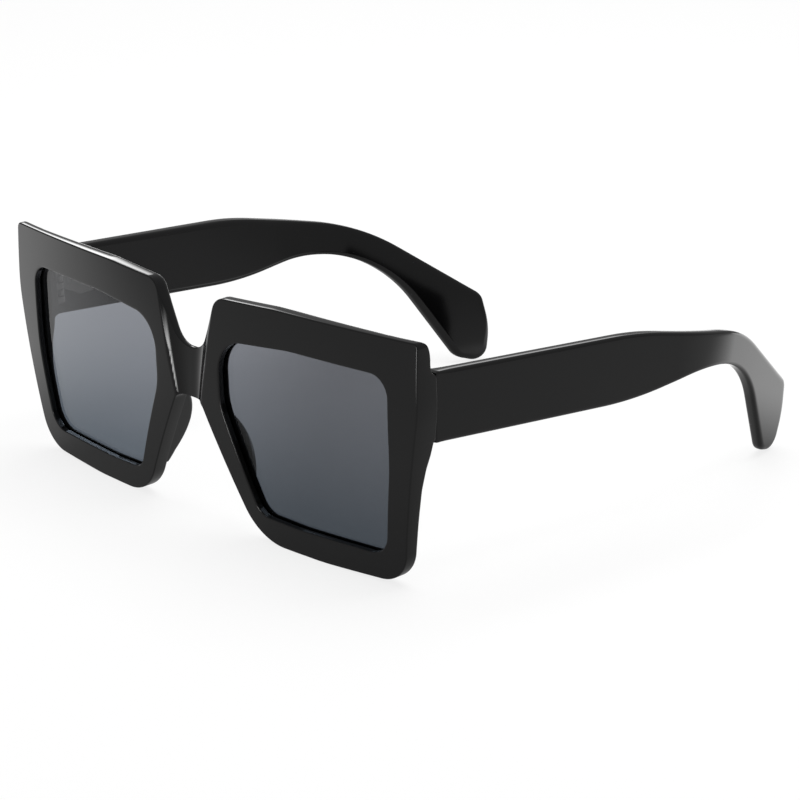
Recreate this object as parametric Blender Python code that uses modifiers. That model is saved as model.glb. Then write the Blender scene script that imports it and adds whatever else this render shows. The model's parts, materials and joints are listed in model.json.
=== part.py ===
"""Square sunglasses: a black plastic front and temples, smoke lenses and five-barrel hinges.

They stand open, as on a table, on the bottom of both rims and on both temple tips.
Lengths are in metres and angles in radians. +X is the wearer's left, +Y runs from the
front to the ears and +Z is up. The world origin is the middle of the footprint.
"""

import math

import bmesh
import bpy
from mathutils import Matrix, Vector
from mathutils.geometry import interpolate_bezier

OBJECT_NAME = "square_sunglasses"
LEFT = 1
RIGHT = -1
SIDE_NAMES = {LEFT: "left", RIGHT: "right"}

# Front: half of its outline, from the middle outwards and up from the lowest edge of the rims
FRONT_HALF_WIDTH = 0.0733
FRONT_HEIGHT = 0.0571
BROW_CORNER_ROUNDING = 0.0012
BROW_MIDDLE_X = 0.030
BROW_MIDDLE_DROP = 0.0002
BROW_INNER_X = 0.0113
BROW_INNER_DROP = 0.0011
BROW_INNER_ROUNDING = 0.0042
LONG_EDGE_ROUNDING = 0.060
NOTCH_FLOOR_HALF_WIDTH = 0.0040
NOTCH_DEPTH = 0.0153
NOTCH_FLOOR_ROUNDING = 0.0060
CHEEK_DROP = 0.0156
CHEEK_ROUNDING = 0.040
FOOT_OUTER_INSET = 0.0067
FOOT_OUTER_RISE = 0.0011
FOOT_OUTER_ROUNDING = 0.0088
FOOT_MIDDLE_X = 0.0410
FOOT_INNER_X = 0.0211
FOOT_INNER_RISE = 0.0003
FOOT_INNER_ROUNDING = 0.014
BRIDGE_UNDERSIDE_HALF_WIDTH = 0.0045
BRIDGE_HEIGHT = 0.0118
BRIDGE_UNDERSIDE_ROUNDING = 0.0025

# Front: the widths of the rim round a lens opening
OUTER_RIM_WIDTH = 0.0085
FOOT_RIM_WIDTH = 0.0046
TOP_RIM_WIDTH = 0.0087
BOTTOM_RIM_WIDTH = 0.0064
BOTTOM_CORNER_RISE = 0.0005
LENS_SPACING_HALF = 0.0117
NASAL_CORNER_X = 0.0224
NASAL_BEND_DROP = 0.0261
NASAL_BEND_ROUNDING = 0.014
TOP_INNER_DROP = 0.0021
TOP_INNER_ROUNDING = 0.0085
TOP_OUTER_ROUNDING = 0.0050
OPENING_MIDDLE_X = 0.0350
OPENING_CHEEK_DROP = 0.0291
BOTTOM_OUTER_ROUNDING = 0.0055
BOTTOM_INNER_ROUNDING = 0.0050

# Front: the sheet, its curves and the recessed bridge
PLATE_THICKNESS = 0.0038
FRONT_EDGE_ROUNDING = 0.0003
BACK_EDGE_ROUNDING = 0.0014
EDGE_INSET = 0.00002
FRONT_CURVE_RADIUS = 0.542
FRONT_BOW_RADIUS = 0.291
BOW_CENTRE_HEIGHT = 0.0280
FRONT_TILT = math.radians(3.87)
TROUGH_RADIUS = 0.016
TROUGH_TOP_DEPTH = 0.0017
TROUGH_BOTTOM_DEPTH = 0.0006

# Lenses and the groove that holds them
LENS_THICKNESS = 0.0013
LENS_SETBACK = 0.0017
LENS_CHAMFER = 0.0002
GROOVE_DEPTH = 0.0012
GROOVE_WALL = 0.00015
SEAT_GAP = 0.0003

# End pieces: the blocks behind the rims that carry the hinges
END_PIECE_WIDTH = 0.0092
END_PIECE_DEPTH = 0.0062
END_PIECE_TOP_RISE = 0.0083
END_PIECE_BOTTOM_DROP = 0.0072
END_PIECE_BEVEL = 0.0005
END_PIECE_INSET = 0.00005
END_PIECE_ROOT_DEPTH = 0.0004
BROW_CUT_DEPTH = 0.0010
BROW_ROUND_DEPTH = 0.0012
BROW_ROUND_DROP = 0.0052
BROW_FLARE_DEPTH = 0.0039
BROW_FLARE_RISE = 0.0017
CHEEK_FLARE_STEP = 0.0010
CHEEK_FLARE_STEP_DEPTH = 0.0057
CHEEK_FLARE_HEIGHT = 0.0100
CHEEK_FLARE_DEPTH = 0.0041
CHEEK_FADE_HEIGHT = 0.0168
FADE_DEPTH = 0.0034

# Nose pads: bonded behind the nasal edge of each rim, between the foot and the bridge
PAD_TOP_GAP = 0.0018
PAD_BOTTOM_GAP = 0.0090
PAD_WIDEST_SHARE = 0.575
PAD_WIDTH = 0.0058
PAD_NOSE_BULGE = 0.0004
PAD_EDGE_INSET = 0.0001
PAD_PROJECTION = 0.0046
PAD_SINK = 0.0006

# Hinges: five barrels, three on the front leaf and two on the temple leaf
HINGE_DROP = 0.0164
TEMPLE_INSET = 0.0015
BUTT_GAP = 0.0003
BARREL_RADIUS = 0.00125
BARREL_HEIGHT = 0.0015
BARREL_COUNT = 5
BARREL_GAP = 0.0003
GAP_UNDERCUT = 0.00005
LEAF_THICKNESS = 0.0009
NECK_HALF_WIDTH = 0.0009
FRONT_LEAF_REACH = 0.0050
TEMPLE_LEAF_REACH = 0.0110
BORE_RADIUS = 0.00075
HINGE_SCREW_RADIUS = 0.0005
HINGE_SCREW_HEAD_RADIUS = 0.0011
HINGE_SCREW_HEAD_HEIGHT = 0.0005
HINGE_SCREW_HEAD_GAP = 0.0002
SLOT_WIDTH = 0.0003
SLOT_DEPTH = 0.00025

# Small countersunk screws that hold each leaf
LEAF_SCREW_HEAD_RADIUS = 0.00085
LEAF_SCREW_RADIUS = 0.0004
LEAF_SCREW_LENGTH = 0.0026
LEAF_SCREW_GAP = 0.00015
FRONT_SCREW_HALF_SPACING = 0.0025
FRONT_SCREW_REACH = 0.0036
TEMPLE_SCREW_NEAR = 0.0042
TEMPLE_SCREW_FAR = 0.0090

# Temples: the side outline, from the hinge backwards and up or down from the hinge
TEMPLE_THICKNESS = 0.0036
TEMPLE_ROUNDING = 0.0007
BLADE_TOP_RISE = 0.0085
BLADE_BOTTOM_DROP = 0.0078
BLADE_WAIST_Y = 0.0585
BLADE_WAIST_TOP_RISE = 0.0065
BLADE_WAIST_BOTTOM_DROP = 0.0100
BLADE_WAIST_ROUNDING = 0.100
EAR_BOTTOM_Y = 0.0800
EAR_BOTTOM_DROP = 0.0068
EAR_BOTTOM_ROUNDING = 0.045
EAR_TOP_Y = 0.0984
EAR_TOP_DROP = 0.0010
EAR_TOP_ROUNDING = 0.055
EAR_INSIDE_Y = 0.1024
EAR_INSIDE_DROP = 0.0088
EAR_INSIDE_ROUNDING = 0.033
TIP_SLANT_SHARE = 0.643
TIP_HEEL_RISE = 0.0023
TIP_HEEL_ROUNDING = 0.0035
TIP_FOOT_LENGTH = 0.0081
TIP_TOE_ROUNDING = 0.003
TIP_OVERHANG = 0.0014
TIP_REAR_RISE = 0.0174
TIP_REAR_ROUNDING = 0.0026

# Temples: how the flat blade is bent and leans
TEMPLE_SPLAY = 0.041
TEMPLE_BEND_Y = 0.0713
TEMPLE_BEND_LENGTH = 0.0225
TEMPLE_BEND_RADIUS = 0.0620
TEMPLE_ROOT_LEAN = 0.07
TEMPLE_TIP_LEAN = 0.145
CORE_RADIUS = 0.0006
CORE_SETBACK = 0.0010
CORE_ROOT_DROP = 0.0052
CORE_WAIST_DROP = 0.0012
CORE_KNEE_Y = 0.1000
CORE_KNEE_DROP = 0.0045
CORE_END_Y = 0.1160
CORE_END_DROP = 0.0200
CORE_BEND_POINTS = 9
CORE_SIDES_RESOLUTION = 1

# How finely curves are drawn, and how much a cutter overruns what it cuts
ARC_STEP = math.radians(15)
PLATE_SLICE = 0.012
BEND_SLICE = 0.006
TURNED_STEPS = 16
BROW_ROUND_STEPS = 5
TROUGH_SEGMENTS = 80
PAD_SEGMENTS = 24
WELD_DISTANCE = 1e-7
OVERRUN = 0.002
REST_FLAT_DEPTH = 0.00015
SMOOTH_ANGLE = math.radians(32)
FLAT_ANGLE = math.radians(0.02)


def bow_depth(x, z):
    """How far the front's surface lies behind its foremost point, from its two curvatures."""
    return x**2 / (2 * FRONT_CURVE_RADIUS) + (z - BOW_CENTRE_HEIGHT) ** 2 / (2 * FRONT_BOW_RADIUS)


# Places worked out from the sizes above
NOTCH_FLOOR_HEIGHT = FRONT_HEIGHT - NOTCH_DEPTH
BRIDGE_UNDERSIDE_HEIGHT = NOTCH_FLOOR_HEIGHT - BRIDGE_HEIGHT
CHEEK_HEIGHT = FRONT_HEIGHT - CHEEK_DROP
FOOT_OUTER_X = FRONT_HALF_WIDTH - FOOT_OUTER_INSET
NASAL_BEND_HEIGHT = FRONT_HEIGHT - NASAL_BEND_DROP
OPENING_CHEEK_HEIGHT = FRONT_HEIGHT - OPENING_CHEEK_DROP
HINGE_HEIGHT = FRONT_HEIGHT - HINGE_DROP
BARREL_STACK = BARREL_COUNT * BARREL_HEIGHT + (BARREL_COUNT - 1) * BARREL_GAP
LEAF_OFFSET = BARREL_RADIUS + BUTT_GAP
BUTT_Y = END_PIECE_DEPTH + bow_depth(FRONT_HALF_WIDTH, HINGE_HEIGHT)
HINGE_X = FRONT_HALF_WIDTH - TEMPLE_INSET - TEMPLE_THICKNESS - LEAF_OFFSET
HINGE_Y = BUTT_Y + LEAF_OFFSET
FOOT_DEPTH = bow_depth(FOOT_MIDDLE_X, 0) + FRONT_EDGE_ROUNDING
FRONT_LIFT = -FOOT_DEPTH * math.sin(FRONT_TILT) - REST_FLAT_DEPTH
HINGE_RISE = HINGE_HEIGHT * math.cos(FRONT_TILT) + HINGE_Y * math.sin(FRONT_TILT) + FRONT_LIFT
TIP_INSIDE_HEIGHT = HINGE_RISE - EAR_INSIDE_DROP - TIP_HEEL_RISE
TIP_HEEL_Y = EAR_INSIDE_Y + TIP_SLANT_SHARE * TIP_INSIDE_HEIGHT
TIP_TOE_Y = TIP_HEEL_Y + TIP_FOOT_LENGTH
TIP_REAR_Y = TIP_TOE_Y + TIP_OVERHANG


# Outlines


def filleted(corners):
    """The outline through (x, y, rounding) corners, each corner replaced by an arc of that radius."""
    points = []
    for index, (x, y, radius) in enumerate(corners):
        corner = Vector((x, y))
        if radius <= 0:
            points.append(corner)
            continue
        before = (Vector(corners[index - 1][:2]) - corner).normalized()
        after = (Vector(corners[(index + 1) % len(corners)][:2]) - corner).normalized()
        inside = before.angle(after)
        turn = math.pi - inside
        centre = corner + (before + after).normalized() * radius / math.sin(inside / 2)
        start = corner + before * radius / math.tan(inside / 2) - centre
        steps = max(1, math.ceil(turn / ARC_STEP))
        turning = math.copysign(turn, -before.cross(after))
        for step in range(steps + 1):
            points.append(centre + Matrix.Rotation(turning * step / steps, 2) @ start)
    return points


def grown(corners, amount):
    """The same corners with every side moved outwards by amount; the corners run anticlockwise."""
    moved = []
    for index, (x, y, radius) in enumerate(corners):
        corner = Vector((x, y))
        before = (corner - Vector(corners[index - 1][:2])).normalized()
        after = (Vector(corners[(index + 1) % len(corners)][:2]) - corner).normalized()
        normals = Vector((before.y, -before.x)), Vector((after.y, -after.x))
        middle = (normals[0] + normals[1]).normalized()
        corner += middle * amount / middle.dot(normals[0])
        more = math.copysign(amount, before.cross(after) * amount)
        moved.append((corner.x, corner.y, radius + more))
    return moved


def mirrored(corners):
    return [(-x, y, radius) for x, y, radius in reversed(corners)]


def rectangle(x_from, x_to, y_from, y_to):
    return [(x_from, y_from, 0), (x_to, y_from, 0), (x_to, y_to, 0), (x_from, y_to, 0)]


# Meshes


def tidied(mesh, join_flat_faces=False):
    """The mesh with its loose caps welded and every face turned outwards."""
    body = bmesh.new()
    body.from_mesh(mesh)
    bmesh.ops.remove_doubles(body, verts=body.verts, dist=WELD_DISTANCE)
    if join_flat_faces:
        bmesh.ops.dissolve_limit(body, angle_limit=FLAT_ANGLE, verts=body.verts, edges=body.edges)
    bmesh.ops.recalc_face_normals(body, faces=body.faces)
    body.to_mesh(mesh)
    body.free()
    return mesh


def baked(obj):
    """The mesh of a scratch object as its modifiers leave it; the object itself is removed."""
    bpy.context.scene.collection.objects.link(obj)
    graph = bpy.context.evaluated_depsgraph_get()
    mesh = bpy.data.meshes.new_from_object(obj.evaluated_get(graph))
    bpy.data.objects.remove(obj)
    return tidied(mesh)


def plate(corners, thickness, rounding=0, holes=()):
    """A flat sheet in the XY plane, its edges rounded; the holes, like its edge, are lists of corners."""
    curve = bpy.data.curves.new("plate", "CURVE")
    curve.dimensions = "2D"
    curve.fill_mode = "BOTH"
    curve.extrude = thickness / 2 - rounding
    curve.bevel_depth = rounding
    curve.bevel_resolution = 1
    # The bevel swells the sheet again by as much as its outlines are drawn in here.
    outlines = [filleted(grown(corners, -rounding))]
    outlines += [filleted(grown(hole, rounding)) for hole in holes]
    for outline in outlines:
        spline = curve.splines.new("POLY")
        spline.points.add(len(outline) - 1)
        for point, place in zip(spline.points, outline):
            point.co = (place[0], place[1], 0, 1)
        spline.use_cyclic_u = True
    return tidied(baked(bpy.data.objects.new("plate", curve)), join_flat_faces=True)


def box(x_from, x_to, y_from, y_to, z_from, z_to):
    body = bmesh.new()
    bmesh.ops.create_cube(body, size=1)
    size = Vector((x_to - x_from, y_to - y_from, z_to - z_from))
    centre = Vector((x_to + x_from, y_to + y_from, z_to + z_from)) / 2
    bmesh.ops.transform(body, matrix=Matrix.LocRotScale(centre, None, size), verts=body.verts)
    mesh = bpy.data.meshes.new("box")
    body.to_mesh(mesh)
    body.free()
    return mesh


def turned(profile):
    """A profile of (radius, z) points, from the top down, turned about Z."""
    mesh = bpy.data.meshes.new("turned")
    edges = [(index, index + 1) for index in range(len(profile) - 1)]
    mesh.from_pydata([(radius, 0, z) for radius, z in profile], edges, [])
    obj = bpy.data.objects.new("turned", mesh)
    screw = obj.modifiers.new("turn", "SCREW")
    screw.steps = TURNED_STEPS
    screw.render_steps = TURNED_STEPS
    screw.use_merge_vertices = True
    screw.merge_threshold = WELD_DISTANCE
    return baked(obj)


def combined(first, second, operation):
    """Two meshes joined or cut by a Boolean, with both used up."""
    obj = bpy.data.objects.new("first", first)
    tool = bpy.data.objects.new("second", second)
    bpy.context.scene.collection.objects.link(tool)
    boolean = obj.modifiers.new(operation.lower(), "BOOLEAN")
    boolean.operation = operation
    boolean.object = tool
    mesh = baked(obj)
    bpy.data.objects.remove(tool)
    return mesh


def sliced(mesh, axis, pitch):
    """The mesh with an edge loop at every pitch along an axis, so that it can be bent."""
    body = bmesh.new()
    body.from_mesh(mesh)
    places = [vertex.co[axis] for vertex in body.verts]
    normal = Vector((0, 0, 0))
    normal[axis] = 1
    for step in range(math.ceil(min(places) / pitch), math.ceil(max(places) / pitch)):
        geometry = body.verts[:] + body.edges[:] + body.faces[:]
        bmesh.ops.bisect_plane(body, geom=geometry, plane_co=normal * step * pitch, plane_no=normal)
    body.to_mesh(mesh)
    body.free()
    return mesh


def moved(mesh, shift):
    """The mesh with shift(point) added to every point, its faces first split into triangles."""
    body = bmesh.new()
    body.from_mesh(mesh)
    for vertex in body.verts:
        vertex.co += Vector(shift(vertex.co))
    bmesh.ops.triangulate(body, faces=body.faces)
    body.to_mesh(mesh)
    body.free()
    return mesh


# Materials and objects


def material(name, colour, roughness, metallic=0, transmission=0):
    made = bpy.data.materials.new(name)
    made.use_nodes = True
    shader = made.node_tree.nodes["Principled BSDF"]
    shader.inputs["Base Color"].default_value = (*colour, 1)
    shader.inputs["Roughness"].default_value = roughness
    shader.inputs["Metallic"].default_value = metallic
    shader.inputs["Transmission Weight"].default_value = transmission
    made.diffuse_color = (*colour, 1)
    return made


def add_object(name, mesh, parent, side=LEFT, surface=None):
    """Makes a part's object; a mesh drawn for the left side is mirrored for the right one."""
    if side == RIGHT:
        mesh.transform(Matrix.Scale(-1, 4, (1, 0, 0)))
        mesh.flip_normals()
    mesh.name = name
    mesh.shade_smooth()
    mesh.set_sharp_from_angle(angle=SMOOTH_ANGLE)
    obj = bpy.data.objects.new(name, mesh)
    obj.parent = parent
    bpy.data.collections[OBJECT_NAME].objects.link(obj)
    if surface:
        mesh.materials.append(surface)
    return obj


def add_cutter(targets, name, mesh, parent, side=LEFT):
    """Cuts a mesh out of the target objects, and keeps it as a hidden wire shape."""
    cutter = add_object(name, mesh, parent, side)
    bpy.data.collections[OBJECT_NAME].objects.unlink(cutter)
    bpy.data.collections["cutters"].objects.link(cutter)
    cutter.hide_render = True
    cutter.display_type = "WIRE"
    for target in targets:
        boolean = target.modifiers.new(name, "BOOLEAN")
        boolean.operation = "DIFFERENCE"
        boolean.object = cutter
    return cutter


def add_empty(name, parent, location=(0, 0, 0), tilt=0):
    empty = bpy.data.objects.new(name, None)
    empty.parent = parent
    empty.location = location
    empty.rotation_euler.x = tilt
    bpy.data.collections[OBJECT_NAME].objects.link(empty)
    return empty


# Front


def bowed(mesh):
    """A flat sheet or cut-out given the front's two curvatures."""
    sliced(mesh, 0, PLATE_SLICE)
    sliced(mesh, 2, PLATE_SLICE)
    return moved(mesh, lambda point: (0, bow_depth(point.x, point.z), 0))


def half_front_corners():
    """Corners of the front's left half, clockwise from the notch floor to the bridge underside."""
    return [
        (NOTCH_FLOOR_HALF_WIDTH, NOTCH_FLOOR_HEIGHT, NOTCH_FLOOR_ROUNDING),
        (BROW_INNER_X, FRONT_HEIGHT - BROW_INNER_DROP, BROW_INNER_ROUNDING),
        (BROW_MIDDLE_X, FRONT_HEIGHT - BROW_MIDDLE_DROP, LONG_EDGE_ROUNDING),
        (FRONT_HALF_WIDTH, FRONT_HEIGHT, BROW_CORNER_ROUNDING),
        (FRONT_HALF_WIDTH, CHEEK_HEIGHT, CHEEK_ROUNDING),
        (FOOT_OUTER_X, FOOT_OUTER_RISE, FOOT_OUTER_ROUNDING),
        (FOOT_MIDDLE_X, 0, LONG_EDGE_ROUNDING),
        (FOOT_INNER_X, FOOT_INNER_RISE, FOOT_INNER_ROUNDING),
        (BRIDGE_UNDERSIDE_HALF_WIDTH, BRIDGE_UNDERSIDE_HEIGHT, BRIDGE_UNDERSIDE_ROUNDING),
    ]


def front_corners():
    """Corners of the whole front, anticlockwise from the left end of the bridge underside."""
    left = half_front_corners()[::-1]
    return left + mirrored(left)


def opening_corners():
    """Corners of the left lens opening, anticlockwise from its nasal bottom corner."""
    top = FRONT_HEIGHT - TOP_RIM_WIDTH
    outer = FRONT_HALF_WIDTH - OUTER_RIM_WIDTH
    bottom = BOTTOM_RIM_WIDTH + BOTTOM_CORNER_RISE
    return [
        (NASAL_CORNER_X, bottom, BOTTOM_INNER_ROUNDING),
        (OPENING_MIDDLE_X, BOTTOM_RIM_WIDTH, LONG_EDGE_ROUNDING),
        (FOOT_OUTER_X - FOOT_RIM_WIDTH, bottom, BOTTOM_OUTER_ROUNDING),
        (outer, OPENING_CHEEK_HEIGHT, LONG_EDGE_ROUNDING),
        (outer, top, TOP_OUTER_ROUNDING),
        (OPENING_MIDDLE_X, top, LONG_EDGE_ROUNDING),
        (LENS_SPACING_HALF, top - TOP_INNER_DROP, TOP_INNER_ROUNDING),
        (LENS_SPACING_HALF, NASAL_BEND_HEIGHT, NASAL_BEND_ROUNDING),
    ]


def sheet(corners, thickness, setback, rounding=0, holes=()):
    """An upright flat sheet, its face set back from the front's surface before that is bowed."""
    mesh = plate(corners, thickness, rounding, holes)
    stand = Matrix.Translation((0, setback + thickness / 2, 0))
    mesh.transform(stand @ Matrix.Rotation(math.radians(90), 4, "X"))
    return mesh


def rounded_sheet(openings):
    """The pierced sheet where two overlap: one rounds its front edges, the other its back edges."""
    front = FRONT_EDGE_ROUNDING
    back = BACK_EDGE_ROUNDING
    edge = front_corners()
    sharp = sheet(edge, PLATE_THICKNESS + 2 * front, 0, front, openings)
    soft = sheet(grown(edge, -EDGE_INSET), PLATE_THICKNESS + 2 * back, -2 * back, back)
    return combined(sharp, soft, "INTERSECT")


def bridge_trough():
    """A leaning cylinder in front of the bridge, which hollows it most at the notch."""
    rise = NOTCH_FLOOR_HEIGHT - BRIDGE_UNDERSIDE_HEIGHT
    lean = math.atan((TROUGH_TOP_DEPTH - TROUGH_BOTTOM_DEPTH) / rise)
    body = bmesh.new()
    bmesh.ops.create_cone(
        body,
        cap_ends=True,
        segments=TROUGH_SEGMENTS,
        radius1=TROUGH_RADIUS,
        radius2=TROUGH_RADIUS,
        depth=FRONT_HEIGHT,
    )
    depth = (TROUGH_TOP_DEPTH + TROUGH_BOTTOM_DEPTH) / 2
    height = (NOTCH_FLOOR_HEIGHT + BRIDGE_UNDERSIDE_HEIGHT) / 2
    place = Matrix.Translation((0, depth - TROUGH_RADIUS, height))
    bmesh.ops.transform(body, matrix=place @ Matrix.Rotation(-lean, 4, "X"), verts=body.verts)
    mesh = bpy.data.meshes.new("trough")
    body.to_mesh(mesh)
    body.free()
    return mesh


def brow_round():
    """The quarter of an ellipse, as (depth, height) points, that rounds the brow's outer end."""
    turn = [math.pi / 2 * (1 - step / BROW_ROUND_STEPS) for step in range(BROW_ROUND_STEPS + 1)]
    reach = BROW_FLARE_DEPTH - BROW_ROUND_DEPTH
    low = FRONT_HEIGHT - BROW_ROUND_DROP
    return [
        (BROW_ROUND_DEPTH + reach * math.cos(a), low + BROW_ROUND_DROP * math.sin(a))
        for a in turn
    ]


def end_piece():
    """The left block behind the rim: its side profile drawn along X, cut to the outline and bowed."""
    top = HINGE_HEIGHT + END_PIECE_TOP_RISE
    bottom = HINGE_HEIGHT - END_PIECE_BOTTOM_DROP
    past_butt = BUTT_Y + OVERRUN
    profile = [
        (END_PIECE_ROOT_DEPTH, FRONT_HEIGHT),
        *brow_round(),
        (BROW_FLARE_DEPTH, top + BROW_FLARE_RISE),
        (past_butt, top),
        (past_butt, bottom),
        (CHEEK_FLARE_STEP_DEPTH, bottom - CHEEK_FLARE_STEP),
        (CHEEK_FLARE_DEPTH, bottom - CHEEK_FLARE_HEIGHT),
        (FADE_DEPTH, bottom - CHEEK_FADE_HEIGHT),
        (END_PIECE_ROOT_DEPTH, bottom - CHEEK_FADE_HEIGHT),
    ]
    block = plate([(depth, height, 0) for depth, height in profile], END_PIECE_WIDTH + OVERRUN)
    # The sheet's axes (depth, height, thickness) become (Y, Z, X).
    axes = Matrix(((0, 0, 1, 0), (1, 0, 0, 0), (0, 1, 0, 0), (0, 0, 0, 1)))
    middle = FRONT_HALF_WIDTH - (END_PIECE_WIDTH - OVERRUN) / 2
    block.transform(Matrix.Translation((middle, 0, 0)) @ axes)
    trim = sheet(grown(front_corners(), -END_PIECE_INSET), 2 * past_butt, -OVERRUN)
    block = combined(block, trim, "INTERSECT")
    groove_edge = FRONT_HALF_WIDTH - OUTER_RIM_WIDTH + GROOVE_DEPTH + SEAT_GAP
    groove_top = FRONT_HEIGHT - TOP_RIM_WIDTH + GROOVE_DEPTH + SEAT_GAP
    lens_back = LENS_SETBACK + LENS_THICKNESS + SEAT_GAP + GROOVE_WALL
    clearance = sheet(rectangle(0, groove_edge, -OVERRUN, groove_top), lens_back + OVERRUN, -OVERRUN)
    block = bowed(combined(block, clearance, "DIFFERENCE"))
    reach = 2 * FRONT_HALF_WIDTH
    behind = box(-reach, reach, BUTT_Y, reach, -reach, reach)
    obj = bpy.data.objects.new("end_piece", combined(block, behind, "DIFFERENCE"))
    bevel = obj.modifiers.new("edges", "BEVEL")
    bevel.width = END_PIECE_BEVEL
    bevel.segments = 2
    bevel.limit_method = "ANGLE"
    bevel.angle_limit = SMOOTH_ANGLE
    return baked(obj)


def front_mesh():
    """The front cut flat from sheet, hollowed and grooved, then curved; the end pieces come last."""
    openings = [opening_corners(), mirrored(opening_corners())]
    mesh = combined(rounded_sheet(openings), bridge_trough(), "DIFFERENCE")
    groove_width = LENS_THICKNESS + 2 * SEAT_GAP
    inner = FRONT_HALF_WIDTH - END_PIECE_WIDTH + BROW_CUT_DEPTH
    outer = FRONT_HALF_WIDTH + OVERRUN
    low = FRONT_HEIGHT - BROW_ROUND_DROP
    for side, corners in zip((LEFT, RIGHT), openings):
        groove = sheet(grown(corners, GROOVE_DEPTH), groove_width, LENS_SETBACK - SEAT_GAP)
        mesh = combined(mesh, groove, "DIFFERENCE")
        # The brow's outer end makes room for the end piece's rounded top.
        ends = sorted((side * inner, side * outer))
        corner = box(*ends, BROW_CUT_DEPTH, outer, low, FRONT_HEIGHT + OVERRUN)
        mesh = combined(mesh, corner, "DIFFERENCE")
    mesh = bowed(mesh)
    for side in (LEFT, RIGHT):
        block = end_piece()
        if side == RIGHT:
            block.transform(Matrix.Scale(-1, 4, (1, 0, 0)))
            block.flip_normals()
        mesh = combined(mesh, block, "UNION")
    return mesh


def lens_mesh():
    edge = grown(opening_corners(), GROOVE_DEPTH - SEAT_GAP)
    return bowed(sheet(edge, LENS_THICKNESS, LENS_SETBACK, LENS_CHAMFER))


def add_nose_pad(side, front, surface):
    """A half bean behind the nasal edge, flat towards the nose and trimmed to the back of the front."""
    foot = Vector((FOOT_INNER_X, 0, FOOT_INNER_RISE))
    bridge = Vector((BRIDGE_UNDERSIDE_HALF_WIDTH, 0, BRIDGE_UNDERSIDE_HEIGHT))
    along = (bridge - foot).normalized()
    inwards = Vector((0, 1, 0)).cross(along)
    length = (bridge - foot).length - PAD_TOP_GAP - PAD_BOTTOM_GAP
    below = length * PAD_WIDEST_SHARE
    centre = foot + along * (PAD_BOTTOM_GAP + below) + inwards * (PAD_EDGE_INSET + PAD_NOSE_BULGE)
    centre.y = bow_depth(centre.x, centre.z) + PLATE_THICKNESS - PAD_SINK
    body = bmesh.new()
    bmesh.ops.create_uvsphere(body, u_segments=PAD_SEGMENTS, v_segments=PAD_SEGMENTS // 2, radius=1)
    for vertex in body.verts:
        across, back, up = vertex.co
        place = inwards * across * (PAD_WIDTH if across > 0 else PAD_NOSE_BULGE)
        place += along * up * (length - below if up > 0 else below)
        place.y += back * (PAD_PROJECTION + PAD_SINK)
        vertex.co = centre + place
    bmesh.ops.recalc_face_normals(body, faces=body.faces)
    mesh = bpy.data.meshes.new("pad")
    body.to_mesh(mesh)
    body.free()
    name = f"nose_pad_{SIDE_NAMES[side]}"
    pad = add_object(name, mesh, front, side, surface)
    blank = rectangle(0, FRONT_HALF_WIDTH, -OVERRUN, FRONT_HEIGHT)
    seat = bowed(sheet(blank, 2 * PAD_PROJECTION + PLATE_THICKNESS + SEAT_GAP, -2 * PAD_PROJECTION))
    add_cutter([pad], f"pad_seat_cutter_{SIDE_NAMES[side]}", seat, front, side)


# Hinges, drawn about the pin of the left one


def barrel_edge(index):
    """The height of the lower edge of barrel index, from the middle of the stack."""
    return -BARREL_STACK / 2 + index * (BARREL_HEIGHT + BARREL_GAP)


def leaf_profile(reach):
    """Plan of a leaf: its plate, the neck and the barrel round the pin at the origin."""
    outer = LEAF_OFFSET + LEAF_THICKNESS
    neck_angle = math.asin(NECK_HALF_WIDTH / BARREL_RADIUS)
    start, end = neck_angle - math.pi / 2, math.pi
    steps = math.ceil((end - start) / ARC_STEP)
    turn = [start + (end - start) * step / steps for step in range(steps + 1)]
    barrel = [(BARREL_RADIUS * math.cos(angle), BARREL_RADIUS * math.sin(angle), 0) for angle in turn]
    plate_end = [(-BARREL_RADIUS, -outer, 0), (reach, -outer, 0), (reach, -LEAF_OFFSET, 0)]
    return plate_end + [(NECK_HALF_WIDTH, -LEAF_OFFSET, 0)] + barrel


def add_leaf(name, reach, cut_barrels, parent, side, surface, swap=False):
    """A hinge leaf: one profile drawn up the pin, with gaps for the other leaf's barrels and a bore."""
    mesh = plate(leaf_profile(reach), BARREL_STACK)
    if swap:
        mesh.transform(Matrix.Rotation(math.radians(90), 4, "Z"))
    leaf = add_object(name, mesh, parent, side, surface)
    clear = BARREL_RADIUS + BARREL_GAP
    for barrel in cut_barrels:
        low = barrel_edge(barrel) - (BARREL_GAP if barrel else OVERRUN)
        last = barrel == BARREL_COUNT - 1
        high = barrel_edge(barrel) + BARREL_HEIGHT + (OVERRUN if last else BARREL_GAP)
        gap = box(-clear, clear, -LEAF_OFFSET - GAP_UNDERCUT, clear, low, high)
        if swap:
            gap = box(-clear, LEAF_OFFSET + GAP_UNDERCUT, -clear, clear, low, high)
        add_cutter([leaf], f"{name}_gap_{barrel}_cutter", gap, parent, side)
    reach_up = BARREL_STACK / 2 + OVERRUN
    bore = turned([(0, reach_up), (BORE_RADIUS, reach_up), (BORE_RADIUS, -reach_up), (0, -reach_up)])
    add_cutter([leaf], f"{name}_bore_cutter", bore, parent, side)
    return leaf


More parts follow.
